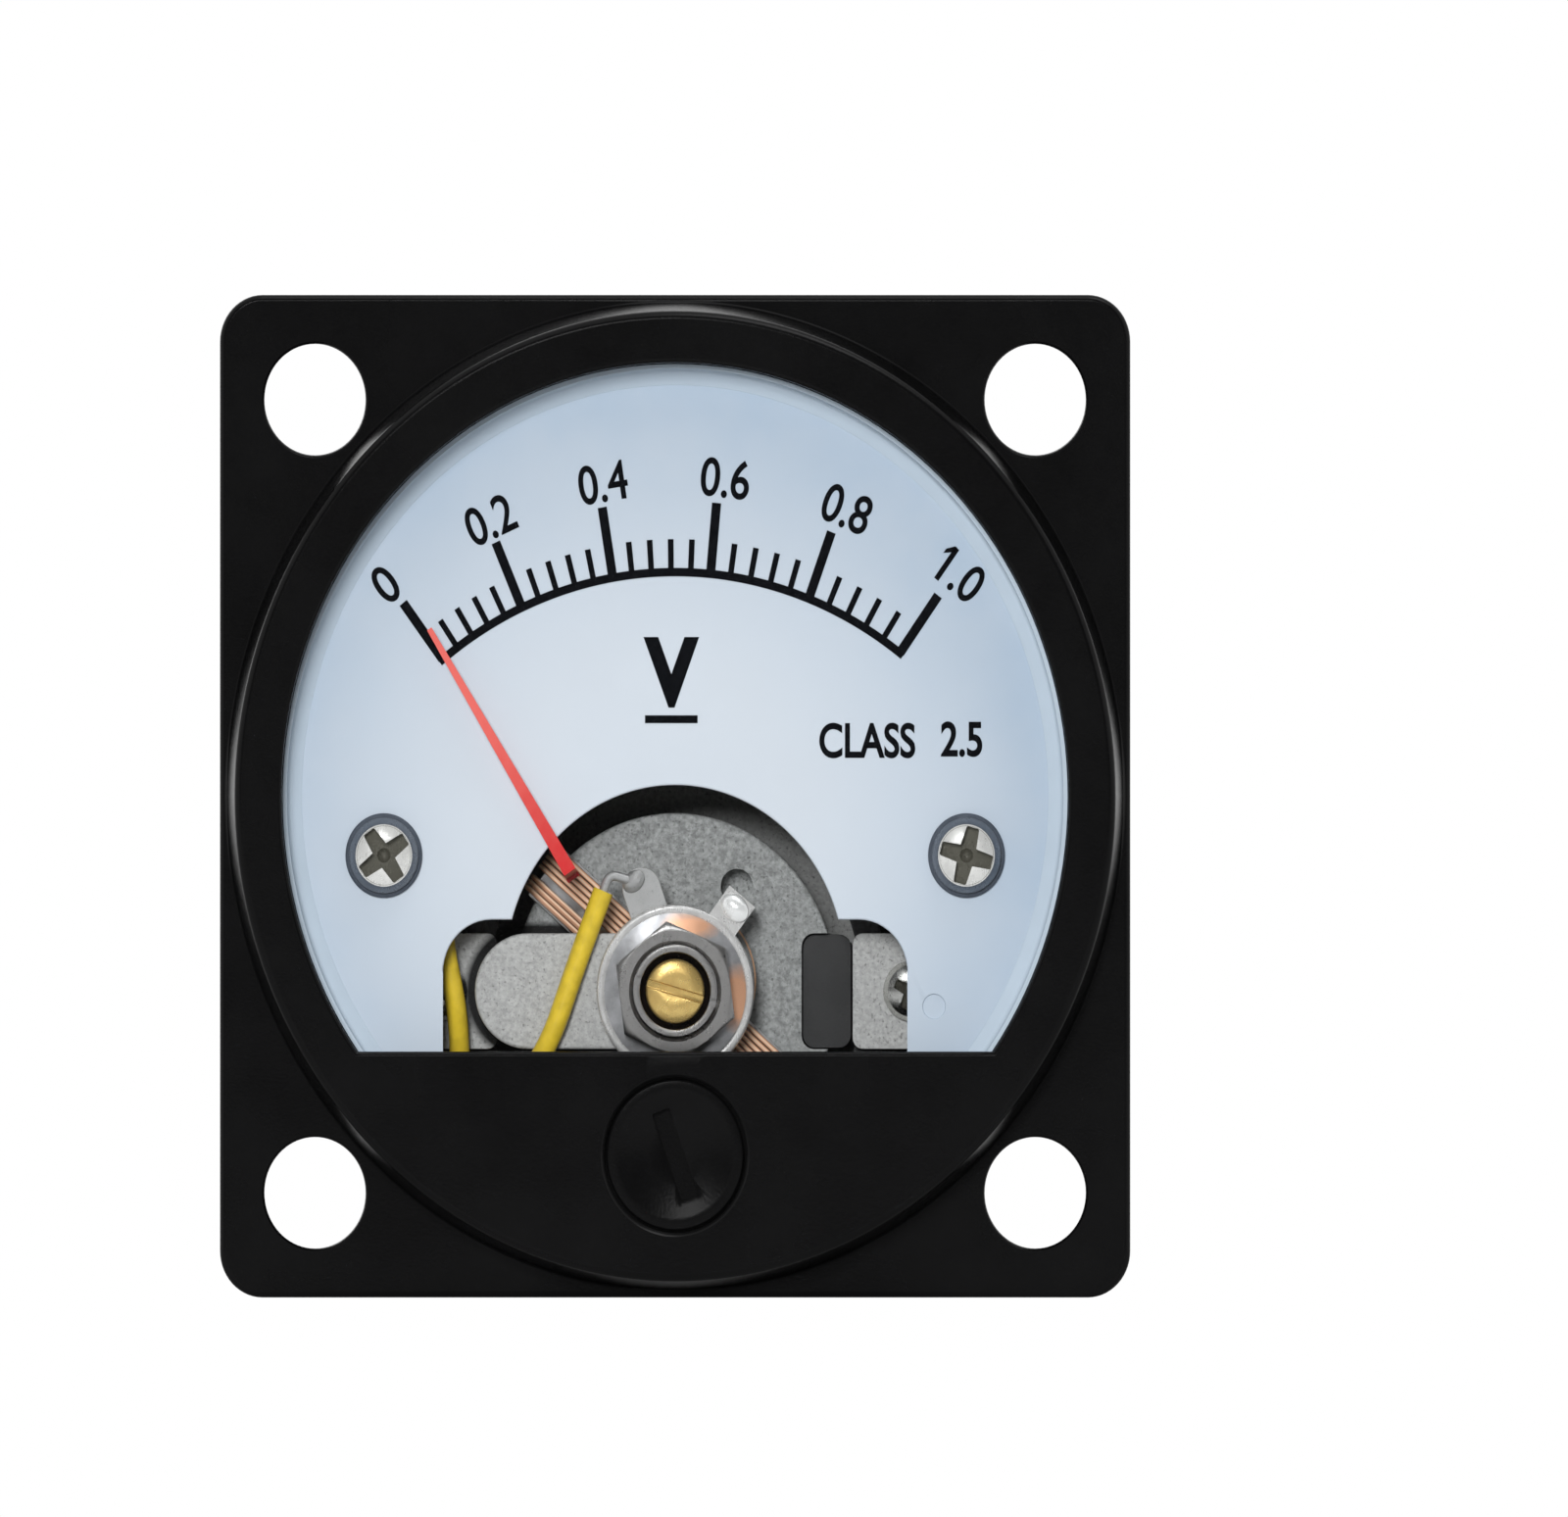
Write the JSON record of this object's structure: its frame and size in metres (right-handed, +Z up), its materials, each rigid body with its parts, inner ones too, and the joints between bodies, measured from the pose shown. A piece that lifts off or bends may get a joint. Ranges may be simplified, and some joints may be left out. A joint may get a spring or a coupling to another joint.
{
  "type": "analog panel meter",
  "caption": "Square flanged moving coil panel voltmeter with a round window, pale dial, red pointer, zero adjuster and two rear stud terminals.",
  "frame": {"origin": "middle of the four mounting holes, on the flange's rear face, which meets the panel", "axes": "front faces -Y, the case goes back along +Y through the panel, X is to the right seen from the front, Z is up"},
  "size_m": [0.045, 0.0358, 0.045],
  "materials": {
    "black_plastic": "moulded, satin",
    "clear_lens": "clear, polished",
    "dial_enamel": "smooth pale blue enamel",
    "dial_ink": "printed ink",
    "plated_steel": "zinc plated",
    "nickel_plate": "nickel plated, worn bright",
    "brass": "turned",
    "cast_alloy": "cast, sandy",
    "soft_iron": "turned, dark grey",
    "magnet_alloy": "ground, granular grey",
    "copper_wire": "fine enamelled wire",
    "spring_bronze": "rolled strip",
    "aluminium_foil": "thin sheet",
    "pointer_red": "thin sheet, red paint",
    "yellow_sleeve": "flexible sleeve",
    "tinned_metal": "tinned, bright",
    "resistor_coat": "dipped coat",
    "lever_plate": "stamped, bright rim"
  },
  "bodies": {
    "meter_body": {"bare_wires": "tinned_metal", "bridge_bush": "nickel_plate", "bridge_screw": "plated_steel", "clamp_screw_left": "plated_steel", "clamp_screw_right": "plated_steel", "core_holder": "black_plastic", "core_magnet": "magnet_alloy", "dial_pillar_left": "brass", "dial_pillar_right": "brass", "dial_plate": "dial_enamel", "dial_screw_left": "plated_steel", "dial_screw_right": "plated_steel", "dial_washer_left": "plated_steel", "dial_washer_right": "plated_steel", "frame_screw_left": "plated_steel", "frame_screw_right": "plated_steel", "friction_washer": "spring_bronze", "front_bridge": "cast_alloy", "front_cover": "black_plastic", "front_jewel_screw": "brass", "front_lead": "yellow_sleeve", "lock_nut": "nickel_plate", "movement_frame": "cast_alloy", "rear_case": "black_plastic", "rear_hairspring": "spring_bronze", "rear_jewel_screw": "brass", "rear_lead": "yellow_sleeve", "rear_lock_nut": "nickel_plate", "rear_spring_anchor": "tinned_metal", "scale_marks": "dial_ink", "series_resistor": "resistor_coat", "solder_lug_left": "tinned_metal", "solder_lug_right": "tinned_metal", "solder_tag": "tinned_metal", "terminal_nuts_left": "plated_steel", "terminal_nuts_right": "plated_steel", "terminal_stud_left": "brass", "terminal_stud_right": "brass", "terminal_tag_left": "tinned_metal", "terminal_tag_right": "tinned_metal", "terminal_washers_left": "plated_steel", "terminal_washers_right": "plated_steel", "window_lens": "clear_lens", "yoke_clamp_left": "cast_alloy", "yoke_clamp_right": "cast_alloy", "yoke_ring": "soft_iron"},
    "zero_adjuster": {"zero_adjuster": "black_plastic"},
    "zero_lever": {"zero_lever": "lever_plate", "front_hairspring": "spring_bronze"},
    "moving_coil": {"coil_former": "aluminium_foil", "coil_winding": "copper_wire", "front_pivot": "plated_steel", "rear_pivot": "plated_steel", "pointer": "pointer_red", "counterweight": "brass"}
  },
  "joints": [
    {"name": "adjuster_turn", "type": "hinge", "parent": "meter_body", "child": "zero_adjuster", "pos_m": [0, -0.005, -0.0161], "axis": [0, 1, 0], "range_deg": [-35, 35]},
    {"name": "lever_turn", "type": "hinge", "parent": "meter_body", "child": "zero_lever", "pos_m": [0, 0, -0.00875], "axis": [0, 1, 0], "range_deg": [-4, 4]},
    {"name": "pointer_swing", "type": "hinge", "parent": "zero_lever", "child": "moving_coil", "pos_m": [0, 0, -0.00875], "axis": [0, 1, 0], "range_deg": [-2, 76], "stiffness_Nm_per_rad": 0.00002, "deforming": ["front_hairspring", "rear_hairspring"]}
  ],
  "couplings": [
    {"joint": "lever_turn", "follows": "adjuster_turn", "ratio": -0.112}
  ]
}
